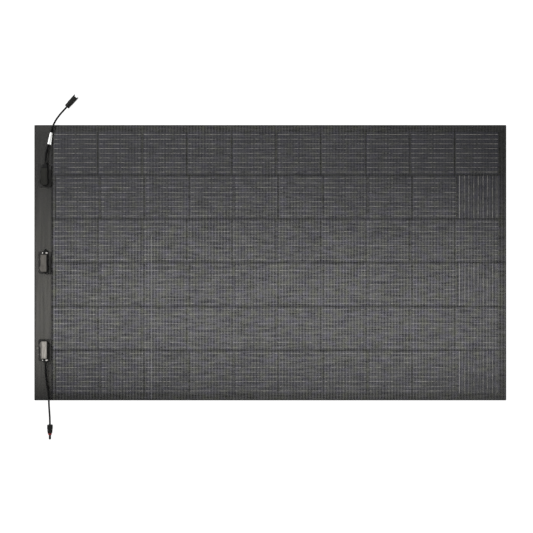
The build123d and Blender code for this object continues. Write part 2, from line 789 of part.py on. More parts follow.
def laminate():
    layer("backsheet", 0, BACKSHEET)
    layer("rear_encapsulant", BACKSHEET, REAR_BED)
    for row in range(ROWS):
        cell_row(row)
        ribbon_row(row)
    cross_ribbons()
    bus_ribbons()
    front_encapsulant()
    front_sheet()


def junction_boxes():
    for place in BOX_Y:
        inner = [ribbon_tails(place), terminals(place), bypass_diode(place)]
        potting(place, inner)
        pad(place)
        base(place)
        lid(place)
    port_plug()


def leads_and_connectors():
    gland("upper", Vector(0, 1, 0))
    gland("lower", LOWER_AXIS)
    lead("lead_upper", UPPER_ROUTE + [tuple(UPPER_PLUG + UPPER_AXIS * LEAD_DEPTH)])
    lead("lead_lower", LOWER_ROUTE + [tuple(LOWER_PLUG + LOWER_AXIS * LEAD_DEPTH)])
    lead_label()
    cap_nut("socket_cap_nut", UPPER_PLUG, UPPER_AXIS, SOCKET_NUT_RADIUS)
    cap_nut("plug_cap_nut", LOWER_PLUG, LOWER_AXIS, PLUG_NUT_RADIUS)
    seal("socket_seal", UPPER_PLUG, UPPER_AXIS)
    seal("plug_seal", LOWER_PLUG, LOWER_AXIS)
    socket_housing()
    plug_housing()
    contacts()
    seal_ring()


laminate()
junction_boxes()
leads_and_connectors()
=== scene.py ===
import math

import bmesh
import bpy
from mathutils import Matrix, Vector


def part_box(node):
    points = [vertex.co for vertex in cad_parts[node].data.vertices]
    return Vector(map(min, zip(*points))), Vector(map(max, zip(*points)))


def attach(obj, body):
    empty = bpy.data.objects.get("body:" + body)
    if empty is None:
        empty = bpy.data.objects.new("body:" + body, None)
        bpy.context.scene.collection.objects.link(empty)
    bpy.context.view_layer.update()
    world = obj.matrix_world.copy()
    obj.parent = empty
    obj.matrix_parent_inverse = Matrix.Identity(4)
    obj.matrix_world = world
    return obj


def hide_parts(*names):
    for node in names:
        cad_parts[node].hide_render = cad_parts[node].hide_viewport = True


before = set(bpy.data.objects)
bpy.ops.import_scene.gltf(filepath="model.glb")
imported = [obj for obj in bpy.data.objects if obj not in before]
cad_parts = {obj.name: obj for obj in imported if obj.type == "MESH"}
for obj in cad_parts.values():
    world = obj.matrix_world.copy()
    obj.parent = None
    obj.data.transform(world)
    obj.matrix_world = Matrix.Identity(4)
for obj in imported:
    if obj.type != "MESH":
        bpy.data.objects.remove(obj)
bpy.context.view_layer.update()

bl_info = {
    "name": "Flexible solar sheet",
    "version": (1, 0, 0),
    "blender": (4, 5, 0),
    "location": "3D Viewport > Sidebar > Solar",
    "description": "Dresses the frame of a flexible solar sheet: film, cells, ribbons, boxes and leads",
    "category": "Add Mesh",
}

# ---- Places that the frame gives, in metres ----
PLACES = ("upper", "middle", "lower")
SHEET_LOW, SHEET_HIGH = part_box("front_sheet")
CELL_LOW, CELL_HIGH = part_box("cell_row_1")
ROWS_END = CELL_HIGH.y
RIBBON_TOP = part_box("ribbon_row_1")[1].z
BED_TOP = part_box("rear_encapsulant")[1].z
FLANGE_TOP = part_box("box_upper_potting")[0].z
LIDS = {place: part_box(f"box_{place}_lid") for place in PLACES}

# ---- How the cells are laid out ----
ROWS = 6
COLUMNS = 10
WIRES = 9
WIRE_PITCH = 0.01764
CELL_SIDE = CELL_HIGH.y - CELL_LOW.y
COLUMN_PITCH = (CELL_HIGH.x - CELL_LOW.x - CELL_SIDE) / (COLUMNS - 1)
ROW_PITCH = (CELL_LOW.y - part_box("cell_row_6")[0].y) / (ROWS - 1)
ROW_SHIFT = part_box("cell_row_2")[0].x - CELL_LOW.x
TURNED_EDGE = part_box("cell_row_2")[1].x - CELL_SIDE

# ---- Marks on the film ----
STRIP_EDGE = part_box("bus_ribbons")[0].x - 0.0005
BUS_LINE = (-0.8225, 0.0065)  # middle and half width of the dark line over the bus ribbons
HEM_LINE = (-0.8125, 0.004)  # middle and half width of the pale line beside it
CREASES = ((-0.447, 0.0028, 0.100), (0.7025, 0.0022, -0.165))  # x, half width, upper end
# x, y and reach of pale spots on the film, at the left of the lower and middle boxes
PALE_SPOTS = ((-0.8745, -0.3210, 0.0045), (-0.8707, -0.3457, 0.0040), (-0.8705, -0.0260, 0.0030))
SEAM_HALF_WIDTH = 0.036  # of the dark line between two rows, as a part of the row pitch
SEAM_ENDS = 0.4  # no seam is drawn past this y
# Painted reflection: a curve over x and y by which the film's haze is painted paler where the lights'
# sheen falls
PAINTED_SHEEN = {
    "level": 1.213, "x": 0.050, "y": -1.850, "yy": -2.778, "xy": -0.166, "yyy": 6.986, "xx": -0.355,
}
LEAST_PAINTED_SHEEN = 0.02

# ---- The laminate's waves ----
STRIP_FLAT_TO = -0.80  # x below which the sheet lies flat, under the boxes
FULL_WAVE_FROM = -0.66
EDGE_EASE = 0.12  # distance over which the waves die out towards the other edges
MEAN_RIPPLE = 0.5
RIPPLES = ((0.24, 9.5, 2.6, 0.6), (0.16, 15.0, -4.4, 1.9), (0.10, 3.1, 12.0, -0.8))  # size, x, y, phase

# ---- Painted light and shade on the boxes ----
SHOULDER_OUT = 0.0385  # from a box's middle to the painted glints on its shoulders
GLINTS = ((-0.0075, 0.0042), (0.0095, 0.0060))  # painted glints on the shoulders: x from the middle, and half width
BASE_FOOT = 0.008  # the shoulders' painted glints stop at this height
# For each box: the ends of the lid's paler painted field, how pale the painted band at its left is, how
# strong the painted glints on the shoulders are, and the place and strength of the painted highlight on
# the flange. Places are from its middle.
BOX_PAINTED_LIGHT = {
    "upper": ((-0.0125, 0.0119), 0.0, 0.0, (0.018, 0.2)),
    "middle": ((-0.0136, 0.0089), 0.8, 0.9, (0.018, 1.5)),
    "lower": ((-0.0088, 0.0097), 0.4, 1.0, (0.0225, 4.0)),
}

# ---- Fixed colours ----
BLACK = (0.0, 0.0, 0.0, 1.0)
VIOLET_GREY = (0.475, 0.465, 0.545, 1.0)
OLIVE_GREY = (0.50, 0.515, 0.42, 1.0)
WARM_GREY = (0.515, 0.50, 0.455, 1.0)
VIOLET_CELL = (0.046, 0.046, 0.060, 1.0)
FINGER = (0.12, 0.12, 0.12, 1.0)
DULL_TIN_AND_SHADE = (0.02, 0.02, 0.02, 1.0)
DUST = (0.30, 0.29, 0.27, 1.0)
# dust on the flanges, and the colour of the painted highlight on them
FLANGE_DUST_AND_HIGHLIGHT = (0.055, 0.054, 0.051, 1.0)
# colour of the painted glints on the boxes' shoulders
GLINT_PAINT = (0.62, 0.60, 0.57, 1.0)

# ---- The leads' routes, as the frame's own leads run ----
UPPER_ROUTE = [
    (-0.8430, 0.3770, 0.0101),
    (-0.8430, 0.3920, 0.0101),
    (-0.8405, 0.4150, 0.0084),
    (-0.8335, 0.4410, 0.0070),
    (-0.8215, 0.4920, 0.0080),
    (-0.8155, 0.5145, 0.0093),
    (-0.8035, 0.5365, 0.0097),
    (-0.7905, 0.5540, 0.0103),
    (-0.77692, 0.56916, 0.0106),
    (-0.75545, 0.59290, 0.0106),
]
LOWER_ROUTE = [
    (-0.8430, -0.3810, 0.0101),
    (-0.8430, -0.3980, 0.0101),
    (-0.8420, -0.4240, 0.0082),
    (-0.8386, -0.4520, 0.0066),
    (-0.8338, -0.4800, 0.0076),
    (-0.8312, -0.5080, 0.0093),
    (-0.8303, -0.5360, 0.0095),
    (-0.8283, -0.5630, 0.0102),
    (-0.8265, -0.5870, 0.0106),
    (-0.8265, -0.6197, 0.0106),
]
UPPER_LENGTH = 0.2399
LOWER_LENGTH = 0.2397


# ---- What a user would change ----
class SolarFilm(bpy.types.PropertyGroup):
    haze: bpy.props.FloatProperty(
        name="Haze", description="How much of the light the film scatters", default=0.45, min=0.0, max=1.0
    )
    haze_color: bpy.props.FloatVectorProperty(
        name="Haze colour", description="Colour of the scattered light", subtype="COLOR",
        default=(0.1155, 0.1145, 0.113), min=0.0, max=1.0,
    )
    wave_height: bpy.props.FloatProperty(
        name="Wave height", description="How far the laminate stands up between its edges",
        default=0.0018, min=0.0, max=0.006, unit="LENGTH",
    )
    thread_pitch: bpy.props.FloatProperty(
        name="Thread pitch", description="Distance between the faint lines across the film",
        default=0.01145, min=0.002, max=0.03, unit="LENGTH",
    )
    emboss_pitch: bpy.props.FloatProperty(
        name="Emboss pitch", description="Distance between the film's embossed dimples",
        default=0.0016, min=0.0005, max=0.01, unit="LENGTH",
    )


class SolarCells(bpy.types.PropertyGroup):
    color: bpy.props.FloatVectorProperty(
        name="Cell colour", description="Colour of the silicon", subtype="COLOR",
        default=(0.036, 0.036, 0.044), min=0.0, max=1.0,
    )
    finger_pitch: bpy.props.FloatProperty(
        name="Finger pitch", description="Distance between the printed fingers",
        default=0.0014, min=0.0005, max=0.005, unit="LENGTH",
    )
    ribbon_width: bpy.props.FloatProperty(
        name="Ribbon width", description="Width of a ribbon on a cell",
        default=0.001, min=0.0002, max=0.003, unit="LENGTH",
    )
    ribbon_color: bpy.props.FloatVectorProperty(
        name="Ribbon colour", description="Colour of the tinned ribbons", subtype="COLOR",
        default=(0.50, 0.48, 0.45), min=0.0, max=1.0,
    )


class SolarBoxes(bpy.types.PropertyGroup):
    body_color: bpy.props.FloatVectorProperty(
        name="Box colour", description="Colour of the bases and the strain reliefs", subtype="COLOR",
        default=(0.004, 0.004, 0.004), min=0.0, max=1.0,
    )
    # The lids are one plastic; their three colours are painted reflection, darkest at the upper box and
    # palest at the lower
    upper_lid: bpy.props.FloatVectorProperty(
        name="Upper lid", description="Colour of the upper lid", subtype="COLOR",
        default=(0.012, 0.012, 0.010), min=0.0, max=1.0,
    )
    middle_lid: bpy.props.FloatVectorProperty(
        name="Middle lid", description="Colour of the middle lid", subtype="COLOR",
        default=(0.088, 0.082, 0.074), min=0.0, max=1.0,
    )
    lower_lid: bpy.props.FloatVectorProperty(
        name="Lower lid", description="Colour of the lower lid", subtype="COLOR",
        default=(0.26, 0.245, 0.225), min=0.0, max=1.0,
    )


class SolarLeads(bpy.types.PropertyGroup):
    diameter: bpy.props.FloatProperty(
        name="Lead diameter", description="Outer diameter of the leads",
        default=0.0068, min=0.003, max=0.01, unit="LENGTH",
    )
    jacket_color: bpy.props.FloatVectorProperty(
        name="Jacket colour", description="Colour of the leads' jacket", subtype="COLOR",
        default=(0.003, 0.003, 0.003), min=0.0, max=1.0,
    )
    ring_color: bpy.props.FloatVectorProperty(
        name="Ring colour", description="Colour of the seal ring", subtype="COLOR",
        default=(0.45, 0.015, 0.02), min=0.0, max=1.0,
    )


# ---- Shader maths ----
class Socket:
    """A number that changes over a surface. Arithmetic on it adds Math nodes."""

    def __init__(self, shader, link):
        self.shader = shader
        self.link = link

    def math(self, operation, *others, clamp=False):
        inputs = {index: value for index, value in enumerate((self,) + others)}
        settings = {"operation": operation, "use_clamp": clamp}
        return self.shader.node("ShaderNodeMath", settings, inputs)

    def __add__(self, other):
        return self.math("ADD", other)

    def __sub__(self, other):
        return self.math("SUBTRACT", other)

    def __mul__(self, other):
        return self.math("MULTIPLY", other)

    def __truediv__(self, other):
        return self.math("DIVIDE", other)

    def __rsub__(self, other):
        return self.math("MULTIPLY", -1.0).math("ADD", other)

    __radd__ = __add__
    __rmul__ = __mul__

    def clamped(self):
        return self.math("ADD", 0.0, clamp=True)

    def below(self, limit):
        return self.math("LESS_THAN", limit)

    def above(self, limit):
        return self.math("GREATER_THAN", limit)


class Shader:
    """One material, whose nodes all come from node()."""

    def __init__(self, name):
        self.material = bpy.data.materials.new(name)
        self.material.use_nodes = True
        self.tree = self.material.node_tree
        self.tree.nodes.clear()

    def node(self, kind, settings=None, inputs=None, output=0):
        made = self.tree.nodes.new(kind)
        for key, value in (settings or {}).items():
            setattr(made, key, value)
        for key, value in (inputs or {}).items():
            if isinstance(value, Socket):
                self.tree.links.new(value.link, made.inputs[key])
            else:
                made.inputs[key].default_value = value
        return Socket(self, made.outputs[output]) if made.outputs else made

    def position(self):
        """X, Y and Z of the surface in metres, in the frame's own axes."""
        place = self.node("ShaderNodeTexCoord", output="Object")
        parts = [self.node("ShaderNodeSeparateXYZ", None, {0: place}, output=i) for i in range(3)]
        return place, parts

    def stretched(self, place, scale):
        """The place with each axis scaled, for a pattern longer one way than the other."""
        return self.node("ShaderNodeVectorMath", {"operation": "MULTIPLY"}, {0: place, 1: scale})

    def noise(self, place, scale, detail=3.0, roughness=0.5):
        inputs = {"Vector": place, "Scale": scale, "Detail": detail, "Roughness": roughness}
        return self.node("ShaderNodeTexNoise", {"noise_dimensions": "3D"}, inputs)

    def mix(self, factor, first, second, blend="MIX"):
        inputs = {0: factor, 6: first, 7: second}
        return self.node("ShaderNodeMix", {"data_type": "RGBA", "blend_type": blend}, inputs, output=2)

    def graded(self, level, doubled):
        """A colour times a level of 0 to 2. It takes the colour doubled."""
        return self.mix((level * 0.5).clamped(), BLACK, doubled)

    def bump(self, height, strength, distance):
        inputs = {"Height": height, "Strength": strength, "Distance": distance}
        return self.node("ShaderNodeBump", None, inputs)

    def surface(self, **inputs):
        """Ends the material in a Principled shader. Names are the sockets' own, with _ for a space."""
        named = {key.replace("_", " "): value for key, value in inputs.items()}
        shader = self.node("ShaderNodeBsdfPrincipled", None, named)
        self.node("ShaderNodeOutputMaterial", None, {"Surface": shader})
        return self.material


def rgba(color):
    return (*color[:3], 1.0)


def tint(color, factor):
    return (*[min(1.0, c * factor) for c in color[:3]], 1.0)


def band(value, middle, half_width):
    """1 at the middle, falling to 0 at half_width either side."""
    distance = (value - middle).math("ABSOLUTE")
    return (1.0 - distance / half_width).clamped()


def ramp(value, low, high):
    """0 at low, 1 at high, even in between."""
    return ((value - low) * (1.0 / (high - low))).clamped()


def repeat(value, pitch):
    """0 to 1 over each pitch."""
    return (value / pitch).math("FRACT")


# ---- Mesh helpers ----
def smoothstep(low, high, value):
    t = min(1.0, max(0.0, (value - low) / (high - low)))
    return t * t * (3 - 2 * t)


def wave(x, y, height):
    """How far the laminate stands up at a point. It lies flat at its edges and under the boxes."""
    left = smoothstep(STRIP_FLAT_TO, FULL_WAVE_FROM, x)
    right = smoothstep(SHEET_HIGH.x, SHEET_HIGH.x - EDGE_EASE, x)
    lower = smoothstep(SHEET_LOW.y, SHEET_LOW.y + EDGE_EASE, y)
    upper = smoothstep(SHEET_HIGH.y, SHEET_HIGH.y - EDGE_EASE, y)
    ripple = MEAN_RIPPLE
    for size, along, across, phase in RIPPLES:
        ripple += size * math.sin(along * x + across * y + phase)
    return height * (left * right) * (lower * upper) * ripple


def lift(verts):
    """Raise points by the laminate's waves."""
    height = bpy.context.scene.solar_film.wave_height
    for vert in verts:
        vert.co.z += wave(vert.co.x, vert.co.y, height)


def piece(name, bm, materials, body, replaced):
    """Turns a bmesh into a smooth-shaded object that rides on a body and stands for CAD nodes."""
    mesh = bpy.data.meshes.new(name)
    bmesh.ops.recalc_face_normals(bm, faces=bm.faces)
    bm.to_mesh(mesh)
    bm.free()
    for polygon in mesh.polygons:
        polygon.use_smooth = True
    for material in materials:
        mesh.materials.append(material)
    made = bpy.data.objects.new(name, mesh)
    bpy.context.scene.collection.objects.link(made)
    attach(made, body)
    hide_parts(*replaced)
    return made


def sharpen(made, degrees):
    """Edges sharper than this stay crisp when the piece is shaded smooth."""
    made.data.set_sharp_from_angle(angle=math.radians(degrees))


def new_verts(step):
    return [item for item in step["geom"] if isinstance(item, bmesh.types.BMVert)]


def dress(names, material):
    """Gives CAD nodes a material."""
    for name in names:
        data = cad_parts[name].data
        data.materials.clear()
        data.materials.append(material)


# ---- Materials ----
def painted_sheen(x, y):
    """Painted reflection: how pale the film's haze is painted over the sheet, in place of the lights'
    sheen; palest two thirds of the way to the lower edge.
    """
    k = PAINTED_SHEEN
    return (k["level"] + x * k["x"] + y * k["y"] + y * y * k["yy"] + x * y * k["xy"]
            + y * y * y * k["yyy"] + x * x * k["xx"])


def film_margin(x, y):
    """1 on the sheet, falling to 0 over its last few millimetres."""
    return (
        ramp(x, SHEET_LOW.x + 0.001, SHEET_LOW.x + 0.006)
        * ramp(x, SHEET_HIGH.x - 0.001, SHEET_HIGH.x - 0.005)
        * ramp(y, SHEET_LOW.y + 0.001, SHEET_LOW.y + 0.005)
        * ramp(y, SHEET_HIGH.y - 0.001, SHEET_HIGH.y - 0.005)
    )


def film_material(film):
    """Clear front film: hazy, embossed, with faint lines across it, soft blotches and creases; its haze
    carries a painted sheen, and its creases a painted highlight.
    """
    s = Shader("front_film")
    place, (x, y, _) = s.position()
    cloud = s.noise(place, 5.0, 3.0)
    blotch = s.noise(place, 34.0, 2.0)
    grain = s.noise(place, 420.0, 2.0)
    streak = s.noise(s.stretched(place, (1.0, 0.03, 1.0)), 150.0, 2.0)
    weft = s.noise(s.stretched(place, (0.12, 1.0, 1.0)), 190.0, 2.0)
    thread = (band(repeat(x, film.thread_pitch), 0.5, 0.44) * 1.5).clamped()

    # Where things are
    strip = x.below(STRIP_EDGE)
    on_cells = 1.0 - strip
    bus = band(x, *BUS_LINE)
    hem = band(x, *HEM_LINE)
    left, right = [band(x, at, half_width) * y.below(end) for at, half_width, end in CREASES]
    crease_and_highlight = (left + right).clamped()
    seam = band(repeat(y + ROW_PITCH / 2, ROW_PITCH), 0.5, SEAM_HALF_WIDTH)
    seam = seam * y.math("ABSOLUTE").below(SEAM_ENDS) * on_cells
    end_borders = y.math("ABSOLUTE").above(ROWS_END)
    right_border = x.above(CELL_HIGH.x)

    # How pale the haze is
    rough = (weft - 0.5) * 2.2 + (grain - 0.5) * 0.3 + (0.5 - thread) * (cloud * 1.1 + 0.25)
    rough = rough * on_cells + (cloud - 0.5) * 0.3 + (streak - 0.5) * strip * 1.2
    # Painted reflection: the haze's level follows the painted sheen over the sheet
    shade = painted_sheen(x, y).math("MAXIMUM", LEAST_PAINTED_SHEEN) * (rough + 1.0)
    shade = shade * (1.0 - bus * 0.54) * (1.0 + hem * 0.5)
    shade = (shade + (0.5 - thread) * on_cells * 0.10) * (1.0 - seam * 0.55)
    shade = shade * (1.0 + end_borders * 0.16 - right_border * 0.14)
    for spot_x, spot_y, reach in PALE_SPOTS:
        away = ((x - spot_x).math("POWER", 2.0) + (y - spot_y).math("POWER", 2.0)).math("SQRT")
        shade = shade + band(away, 0.0, reach) * 2.5
    # Paler along the creases: the folds are real, their paleness is a painted highlight
    shade = shade * (0.15 + film_margin(x, y) * 0.85) * (1.0 + crease_and_highlight * 0.8)

    # The greys are about one half, so the haze is doubled for them, and once more for graded().
    cool = s.mix((blotch * 2.6 - 0.8).clamped(), VIOLET_GREY, OLIVE_GREY)
    warm = s.mix(strip * (1.0 - hem) * 0.8, cool, WARM_GREY)
    doubled = s.mix(1.0, warm, tint(film.haze_color, 4.0), "MULTIPLY")

    tau = math.tau / film.emboss_pitch
    weave = (x * tau).math("SINE") * (y * tau).math("SINE")
    height = weave * 0.4 + grain * 0.4 + crease_and_highlight * 2.0 - thread * 0.5
    return s.surface(
        Base_Color=s.graded(shade, doubled),
        Alpha=(film.haze * (0.95 + cloud * 0.10) + crease_and_highlight * 0.12).clamped(),
        Roughness=0.36 + grain * 0.14,
        IOR=1.36,
        Normal=s.bump(height, 0.3, 0.0002),
    )


def cell_rows(x, y):
    """The number of a point's row, and where that row's cells start."""
    row = ((y - CELL_LOW.y) / ROW_PITCH + 0.01).math("FLOOR")
    start = repeat(row, 2.0) * (2.0 * ROW_SHIFT) + CELL_LOW.x
    return row, start


def cell_material(cells, turned):
    """Silicon with fine printed fingers; paler by its leading edge as painted light on each cell's bulge,
    and darker beside each ribbon as painted shadow.
    """
    s = Shader("cell_turned" if turned else "cell")
    place, (x, y, _) = s.position()
    row, start = cell_rows(x, y)
    if turned:
        along = y
        within = x - TURNED_EDGE
        across = x - (TURNED_EDGE + CELL_SIDE / 2)
    else:
        along = x
        within = repeat(x - start, COLUMN_PITCH) * COLUMN_PITCH
        across = repeat(y - CELL_LOW.y + 0.001, ROW_PITCH) * ROW_PITCH - 0.001 - CELL_SIDE / 2
    finger = band(repeat(along, cells.finger_pitch), 0.5, 0.14)
    # Painted shadow: a dark band beside each ribbon
    ribbon_shadow = (band(repeat(across + WIRE_PITCH * (WIRES / 2), WIRE_PITCH), 0.5, 0.36) * 1.5).clamped()
    column = ((x - start) / COLUMN_PITCH).math("FLOOR")
    tone = s.node("ShaderNodeTexWhiteNoise", {"noise_dimensions": "1D"}, {"W": column * 7.3 + row * 3.1})
    blotch = s.noise(place, 26.0, 3.0)
    # Painted light: each cell is paler near its leading edge, where its bulge catches the light
    painted_bulge_light = (1.0 - ramp(within, 0.006, 0.050)) * ramp(within, 0.0, 0.007)
    edge_band = ramp(across.math("ABSOLUTE"), CELL_SIDE / 2 - 0.006, CELL_SIDE / 2 - 0.001)
    level = 0.95 + tone * 0.22 + blotch * 0.36 + painted_bulge_light * painted_bulge_light * 0.9 - ribbon_shadow * (0.35 + blotch * 0.9)
    base = s.graded(level * (1.0 - edge_band * 0.7), tint(cells.color, 2.0))
    violet = s.mix(blotch, base, VIOLET_CELL)
    return s.surface(
        Base_Color=s.mix(finger * 0.25, violet, FINGER),
        Roughness=0.45 + blotch * 0.12,
        Specular_IOR_Level=0.12,
        Normal=s.bump(finger, 0.2, 0.00003),
    )


def ribbon_material(cells):
    """Tinned ribbon: dulled in patches, pale by the cell's ends and middle, and painted dark as shade
    where it dives into the gaps.
    """
    s = Shader("ribbon")
    place, (x, y, _) = s.position()
    _, start = cell_rows(x, y)
    within = repeat(x - start, COLUMN_PITCH) * COLUMN_PITCH
    patch = s.noise(place, 24.0, 3.0)
    dab = s.noise(place, 95.0, 2.0)
    fine = s.noise(place, 900.0, 2.0)
    middle = CELL_SIDE / 2 + 0.001
    cell_gap = (CELL_SIDE + COLUMN_PITCH) / 2
    pads = (
        band(within, 0.009, 0.007)
        + band(within, middle - 0.0075, 0.0042) * 0.8
        + band(within, middle + 0.0075, 0.0042) * 0.8
        + band(within, CELL_SIDE - 0.008, 0.006) * 0.6
    ).clamped()
    # Painted shade: darker where the ribbon dives into the gap between cells and over each cell's middle
    # line
    gap = (band(within, cell_gap, 0.0048) * 3.0 + band(within, middle, 0.003)).clamped()
    level = ((patch - 0.45) * 3.6 + (dab - 0.45) * 1.6 + 0.32).clamped() * 0.85 + 0.06
    level = (level + pads * 0.8) * (1.0 - gap * 0.85) * (1.0 - x.below(start + 0.001) * 0.9)
    return s.surface(
        Base_Color=s.mix(level.clamped(), DULL_TIN_AND_SHADE, tint(cells.ribbon_color, 1.9)),
        Metallic=0.15 + patch * 0.1,
        Roughness=0.42 + dab * 0.2,
        Specular_IOR_Level=0.2,
        Normal=s.bump(fine, 0.15, 0.00005),
    )


def plastic_material(name, color, roughness=0.42, grain_scale=900.0, dust=0.5, gloss=0.12):
    """Moulded plastic with a fine spark grain, slight mottle and a little dust."""
    s = Shader(name)
    place, _ = s.position()
    grain = s.noise(place, grain_scale, 2.0)
    mottle = s.noise(place, 70.0, 3.0)
    specks = ((s.noise(place, 260.0, 4.0) - 0.56) * 6.0).clamped() * dust
    patches = s.mix(mottle, tint(color, 0.80), tint(color, 1.25))
    return s.surface(
        Base_Color=s.mix(specks * 0.12, patches, DUST),
        Roughness=roughness + mottle * 0.14,
        Specular_IOR_Level=gloss,
        Normal=s.bump(grain, 0.25, 0.00008),
    )


def base_material(name, color, place_name, glint_strength, flange_highlight):
    """A box's base: black walls, a dusty flange with a painted highlight along it, and painted glints on
    the shoulders by the port.
    """
    s = Shader(name)
    place, (x, y, z) = s.position()
    grain = s.noise(place, 900.0, 2.0)
    mottle = s.noise(place, 60.0, 4.0)
    ledge = z.below(FLANGE_TOP + 0.0002) * (0.5 + mottle)
    low, high = LIDS[place_name]
    middle = (low + high) / 2
    out = (y - middle.y).math("ABSOLUTE")
    # Painted highlight: pale glints on the shoulders beside the port
    left, right = [band(x, middle.x + at, half_width) for at, half_width in GLINTS]
    glint = band(out, SHOULDER_OUT, 0.0034) * (left + right)
    patches = (glint * 1.8).clamped() * z.above(BASE_FOOT) * glint_strength
    # Painted highlight: a pale line along the flange by the box's right side, mixed in with the flange's
    # dust
    highlight_at, highlight_strength = flange_highlight
    edge_band = band(x, middle.x + highlight_at, 0.0030) * highlight_strength
    dust_and_highlight = s.mix((ledge * (edge_band + 0.35)).clamped(), rgba(color), FLANGE_DUST_AND_HIGHLIGHT)
    return s.surface(
        Base_Color=s.mix((patches * (0.55 + mottle * 0.8)).clamped(), dust_and_highlight, GLINT_PAINT),
        Roughness=0.45 + mottle * 0.15,
        Specular_IOR_Level=0.12,
        Normal=s.bump(grain, 0.25, 0.00008),
    )


def lid_material(name, color, place_name, lit_field_ends, painted_left_band):
    """A lid in satin plastic, mottled and streaked, with painted light and shade: a paler lit field, a
    painted shadow past its right edge and ends, and a painted band at its left.
    """
    s = Shader(name)
    place, (x, y, _) = s.position()
    low, high = LIDS[place_name]
    middle = (low.x + high.x) / 2
    grain = s.noise(place, 1000.0, 2.0)
    mottle = s.noise(place, 75.0, 4.0)
    rub = s.noise(s.stretched(place, (1.0, 0.18, 1.0)), 240.0, 3.0)
    left, right = middle + lit_field_ends[0], middle + lit_field_ends[1]
    ease = 0.0008
    # Painted light and shade: the field is lit, the lid past its right edge and ends is painted near black
    # as shadow, the band at its left in a darker painted tone
    lit_field = ramp(x, left - ease, left + ease) * (1.0 - ramp(x, right - ease, right + ease))
    lit_field = lit_field * ramp(y, low.y + 0.0015, low.y + 0.003)
    lit_field = lit_field * (1.0 - ramp(y, high.y - 0.003, high.y - 0.0015))
    painted_border = x.below(left) * painted_left_band + 0.04
    level = (0.80 + mottle * 0.35 + (rub - 0.5) * 0.9) * (lit_field * (1.0 - painted_border) + painted_border)
    return s.surface(
        Base_Color=s.graded(level, tint(color, 2.0)),
        Roughness=0.42 + mottle * 0.12,
        Specular_IOR_Level=0.12,
        Normal=s.bump(grain, 0.25, 0.00007),
    )


def rubber_material(name, color, roughness=0.55, gloss=0.2):
    s = Shader(name)
    place, _ = s.position()
    smear = s.noise(place, 120.0, 4.0)
    fine = s.noise(place, 1500.0, 2.0)
    return s.surface(
        Base_Color=s.mix(smear, tint(color, 0.8), tint(color, 1.25)),
        Roughness=roughness + smear * 0.15,
        Specular_IOR_Level=gloss,
        Normal=s.bump(fine, 0.3, 0.00006),
    )


def metal_material(name, color, roughness=0.3):
    s = Shader(name)
    place, _ = s.position()
    smear = s.noise(place, 220.0, 4.0)
    return s.surface(
        Base_Color=s.mix(smear, tint(color, 0.85), rgba(color)),
        Metallic=1.0,
        Roughness=roughness + smear * 0.2,
        Normal=s.bump(smear, 0.1, 0.00005),
    )


def backing_material():
    """Black glass-fibre backing with a plain weave."""
    s = Shader("backsheet")
    place, (x, y, _) = s.position()
    pitch = 0.0016
    warp = (x * (math.pi / pitch)).math("SINE").math("ABSOLUTE")
    weft = (y * (math.pi / pitch)).math("SINE").math("ABSOLUTE")
    mottle = s.noise(place, 14.0, 3.0)
    return s.surface(
        Base_Color=s.mix(mottle, (0.013, 0.013, 0.013, 1), (0.024, 0.024, 0.023, 1)),
        Roughness=0.55 + mottle * 0.15,
        Specular_IOR_Level=0.15,
        Normal=s.bump(warp * 0.5 + weft * 0.5, 0.4, 0.0001),
    )


def label_material():
    """White paper film with soft grey bars in place of print."""
    s = Shader("label")
    place, (x, y, _) = s.position()
    smudge = s.noise(place, 420.0, 3.0)
    bar_pitch = 0.0052
    slant = 0.23
    middle, reach = 0.466, 0.019
    line = band(repeat(y + x * slant, bar_pitch), 0.5, 0.22)
    inside = band(y, middle, reach).above(0.02)
    ink = (line * inside * (smudge * 1.6)).clamped() * 0.75
    fibre = s.noise(place, 1400.0, 3.0)
    return s.surface(
        Base_Color=s.mix(ink, (0.85, 0.85, 0.83, 1), (0.24, 0.24, 0.24, 1)),
        Roughness=0.5 + fibre * 0.15,
        Normal=s.bump(fibre, 0.15, 0.00004),
    )


# ---- Operators ----
class SOLAR_OT_film(bpy.types.Operator):
    """The clear front film over the whole laminate, standing up in low waves"""

    bl_idname = "solar.film"
    bl_label = "Front film"

    def execute(self, context):
        size = SHEET_HIGH - SHEET_LOW
        corner_radius = 0.003
        underside = BED_TOP - 0.00005
        bm = bmesh.new()
        bmesh.ops.create_grid(bm, x_segments=148, y_segments=86, size=0.5)
        stretch = Matrix.Diagonal((size.x, size.y, 1.0, 1.0))
        bmesh.ops.transform(bm, matrix=stretch, verts=bm.verts)
        corners = [v for v in bm.verts if len(v.link_edges) == 2]
        bmesh.ops.bevel(
            bm, geom=corners, offset=corner_radius, segments=4, affect="VERTICES", profile=0.5, material=-1
        )
        middle = (SHEET_HIGH + SHEET_LOW) / 2
        bmesh.ops.translate(bm, vec=(middle.x, middle.y, underside), verts=bm.verts)
        top = new_verts(bmesh.ops.extrude_face_region(bm, geom=bm.faces[:]))
        bmesh.ops.translate(bm, vec=(0, 0, SHEET_HIGH.z - underside), verts=top)
        lift(top)
        skin = [film_material(context.scene.solar_film)]
        stands_for = ("front_sheet", "front_encapsulant")
        sharpen(piece("film", bm, skin, "panel", stands_for), 40)
        return {"FINISHED"}


